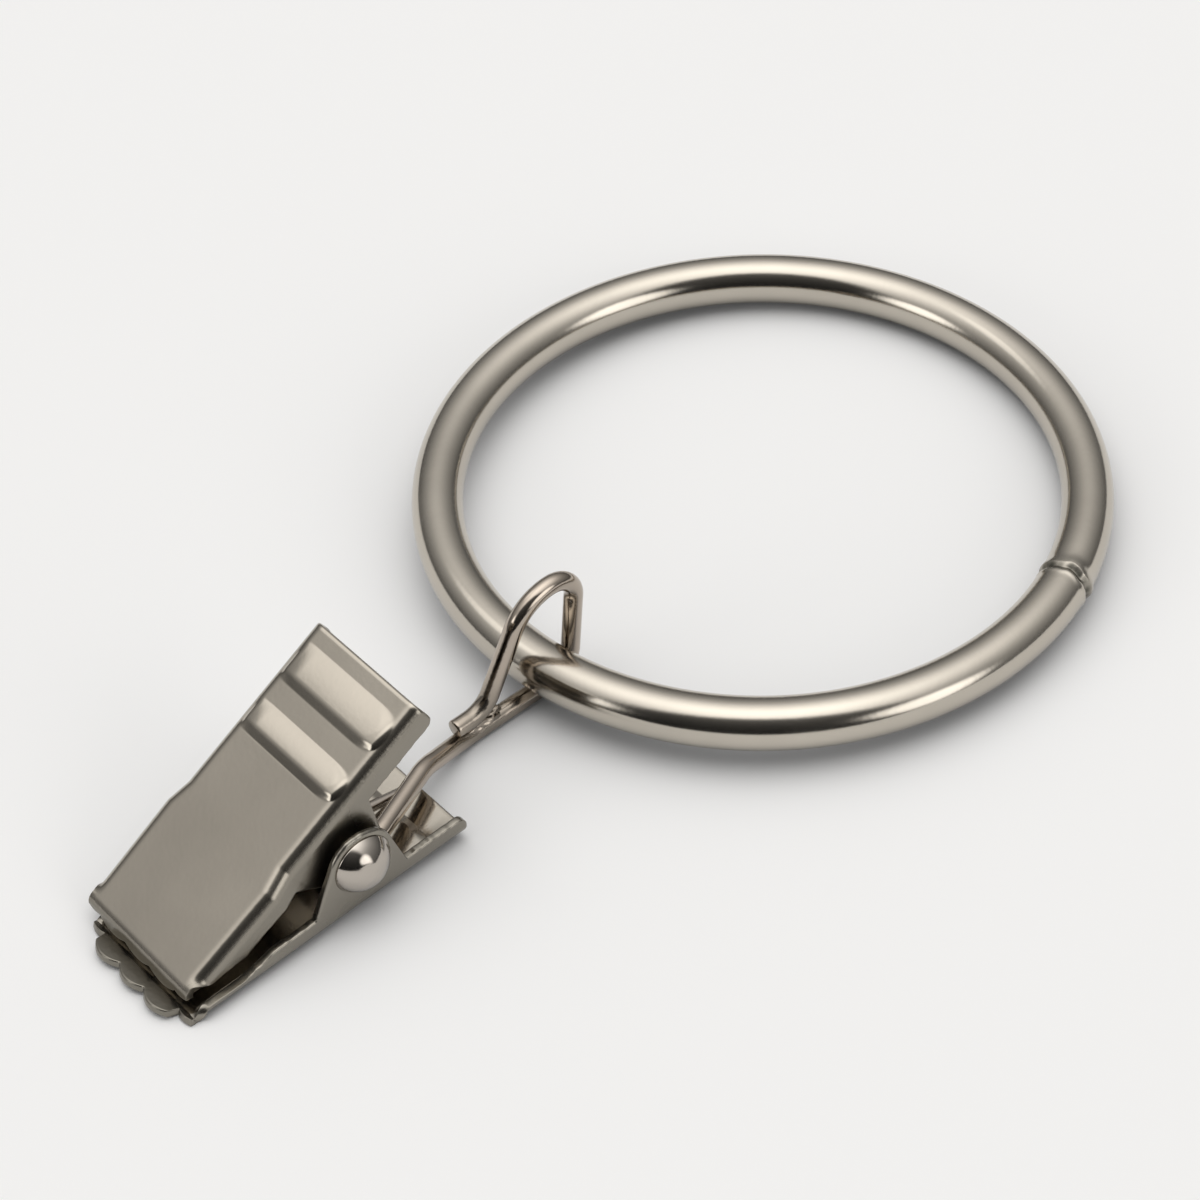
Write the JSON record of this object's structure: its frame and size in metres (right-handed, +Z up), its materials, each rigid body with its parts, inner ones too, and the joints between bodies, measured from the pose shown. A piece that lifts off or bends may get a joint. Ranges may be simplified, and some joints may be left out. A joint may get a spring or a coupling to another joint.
{
  "type": "curtain ring with clip",
  "caption": "Round wire curtain ring with a bent wire eye that carries a sprung clip; toothed jaws grip fabric so that it hangs from a rod.",
  "frame": {"origin": "middle of the whole part's length and width, on the table it lies on", "axes": "+X from the clip's nose towards the ring, +Y across the part, +Z up from the table"},
  "size_m": [0.0744, 0.0446, 0.012],
  "materials": {
    "curtain_ring": "polished nickel plate",
    "hanger_wire": "polished nickel plate",
    "lower_jaw": "polished nickel plate",
    "upper_jaw": "polished nickel plate",
    "pivot_rivet": "polished nickel plate",
    "torsion_spring": "bright spring wire"
  },
  "bodies": {
    "ring": {"curtain_ring": "curtain_ring"},
    "hanger": {"hanger_wire": "hanger_wire"},
    "lower_clip": {"lower_jaw": "lower_jaw", "pivot_rivet": "pivot_rivet", "torsion_spring": "torsion_spring"},
    "upper_clip": {"upper_jaw": "upper_jaw"}
  },
  "joints": [
    {"name": "hanger_swing", "type": "hinge", "parent": "ring", "child": "hanger", "pos_m": [-0.00556, -0.00225, 0.00293], "axis": [-0.1089, 0.994, 0.0034], "continuous": true},
    {"name": "clip_pivot", "type": "hinge", "parent": "hanger", "child": "lower_clip", "pos_m": [-0.0234, -0.00225, 0.00406], "axis": [0, 1, 0], "range_deg": [-3, 25]},
    {"name": "jaw_open", "type": "hinge", "parent": "lower_clip", "child": "upper_clip", "pos_m": [-0.0234, -0.00225, 0.00406], "axis": [0, 1, 0], "range_deg": [0, 35], "stiffness_Nm_per_rad": 0.05, "springref_deg": -57.3, "deforming": ["torsion_spring"]}
  ]
}
